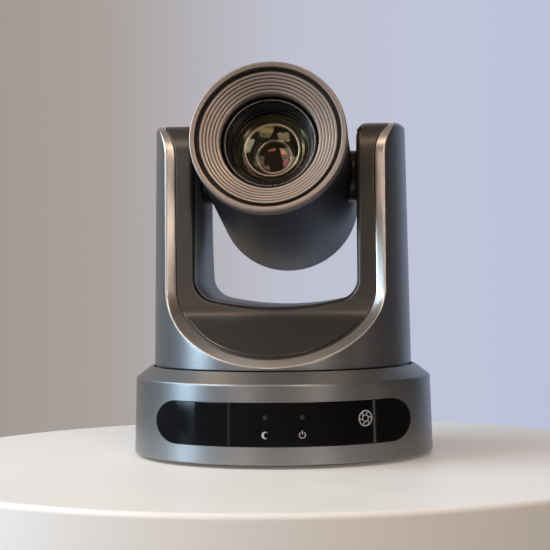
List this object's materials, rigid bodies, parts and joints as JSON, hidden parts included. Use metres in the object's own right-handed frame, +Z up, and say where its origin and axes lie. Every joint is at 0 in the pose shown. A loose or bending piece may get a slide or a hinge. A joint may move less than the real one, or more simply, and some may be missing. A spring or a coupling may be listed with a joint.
{
  "type": "ptz camera",
  "caption": "Pan-tilt-zoom conference camera: drum base with a dark front window, round panning yoke, and a tilting barrel head with a ribbed lens ring.",
  "frame": {"origin": "on the pan axis, in the plane of the table that the feet stand on; the base plate's underside is 0.9 mm above it", "axes": "+Z up along the pan axis, -Y is the front with the status window, +X is to the right as seen from the front"},
  "size_m": [0.1284, 0.1195, 0.1638],
  "materials": {
    "gunmetal_paint": "satin gunmetal metallic paint",
    "cover_paint": "satin dark bronze-grey metallic paint",
    "ring_paint": "satin bronze-grey metallic paint, finely ribbed",
    "liner_plastic": "satin mid-grey plastic",
    "satin_black": "satin black",
    "trim_black": "matt black",
    "window_black": "polished black infrared-clear window",
    "foot_rubber": "matt black rubber",
    "plate_black": "black powder coat",
    "steel": "machined steel",
    "aluminium": "cast and sheet aluminium",
    "brass": "turned brass",
    "board_green": "green circuit board",
    "motor_black": "black motor can and lens tube",
    "belt_rubber": "black toothed belt",
    "lens_glass": "coated optical glass",
    "led_red": "unlit red light pipe",
    "led_green": "unlit green light pipe",
    "sensor_glass": "sensor cover glass"
  },
  "bodies": {
    "base": {"base_shell": "gunmetal_paint", "base_plate": "plate_black", "rubber_foot_1": "foot_rubber", "rubber_foot_2": "foot_rubber", "rubber_foot_3": "foot_rubber", "rubber_foot_4": "foot_rubber", "tripod_insert": "brass", "base_chassis": "aluminium", "pan_bearing": "steel", "pan_motor": "motor_black", "pan_belt": "belt_rubber", "main_board": "board_green", "status_window": "window_black", "led_board": "board_green", "standby_light": "led_red", "power_light": "led_green", "ir_receiver": "satin_black", "rear_panel": "satin_black", "lan_socket": "steel", "usb_socket": "steel", "hdmi_socket": "steel", "dc_socket": "satin_black", "serial_in_socket": "satin_black", "serial_out_socket": "satin_black", "audio_socket": "satin_black", "switch_frame": "satin_black"},
    "yoke": {"yoke_shell": "gunmetal_paint", "yoke_front_cover": "cover_paint", "yoke_rear_cover": "gunmetal_paint", "yoke_mouth_liner": "liner_plastic", "yoke_mouth_trim": "trim_black", "yoke_frame": "aluminium", "pan_pulley": "aluminium", "pan_spindle": "steel", "tilt_bearing_left": "steel", "tilt_bearing_right": "steel", "tilt_motor": "motor_black", "tilt_belt": "belt_rubber", "driver_board": "board_green"},
    "head": {"head_shell": "satin_black", "head_rear_cap": "satin_black", "front_bezel": "ring_paint", "tilt_hub_left": "satin_black", "tilt_hub_right": "satin_black", "tilt_pulley": "aluminium", "lens_housing": "motor_black", "lens_front_ring": "satin_black", "front_lens": "lens_glass", "guide_rod_left": "steel", "guide_rod_right": "steel", "iris_unit": "motor_black", "sensor_board": "board_green", "image_sensor": "sensor_glass", "zoom_motor": "motor_black", "focus_motor": "motor_black"},
    "pan_motor_shaft": {"pan_pinion": "brass"},
    "tilt_motor_shaft": {"tilt_pinion": "brass"},
    "rocker": {"power_switch": "satin_black"},
    "zoom_group": {"zoom_carriage": "motor_black"},
    "focus_group": {"focus_carriage": "motor_black"}
  },
  "joints": [
    {"name": "pan", "type": "hinge", "parent": "base", "child": "yoke", "pos_m": [0, 0, 0.038], "axis": [0, 0, 1], "range_deg": [-164.1, 175.9]},
    {"name": "tilt", "type": "hinge", "parent": "yoke", "child": "head", "pos_m": [0, 0, 0.1187], "axis": [0.9947, -0.1028, 0], "range_deg": [-74.3, 45.7]},
    {"name": "pan_motor_spin", "type": "hinge", "parent": "base", "child": "pan_motor_shaft", "pos_m": [0.038, 0, 0.03], "axis": [0, 0, 1], "range_deg": [-715, 765]},
    {"name": "tilt_motor_spin", "type": "hinge", "parent": "yoke", "child": "tilt_motor_shaft", "pos_m": [0, 0, 0.0515], "axis": [0.9947, -0.1028, 0], "range_deg": [-225, 140]},
    {"name": "power_rocker", "type": "hinge", "parent": "base", "child": "rocker", "pos_m": [-0.0225, 0.04985, 0.0118], "axis": [1, 0, 0], "range_deg": [-18, 0]},
    {"name": "zoom", "type": "slide", "parent": "head", "child": "zoom_group", "axis": [-0.099, -0.9576, 0.2706], "range_m": [-0.005, 0.006]},
    {"name": "focus", "type": "slide", "parent": "head", "child": "focus_group", "axis": [-0.099, -0.9576, 0.2706], "range_m": [-0.006, 0.004]}
  ],
  "couplings": [
    {"joint": "pan_motor_spin", "follows": "pan", "ratio": 4.3333},
    {"joint": "tilt_motor_spin", "follows": "tilt", "ratio": 3}
  ]
}
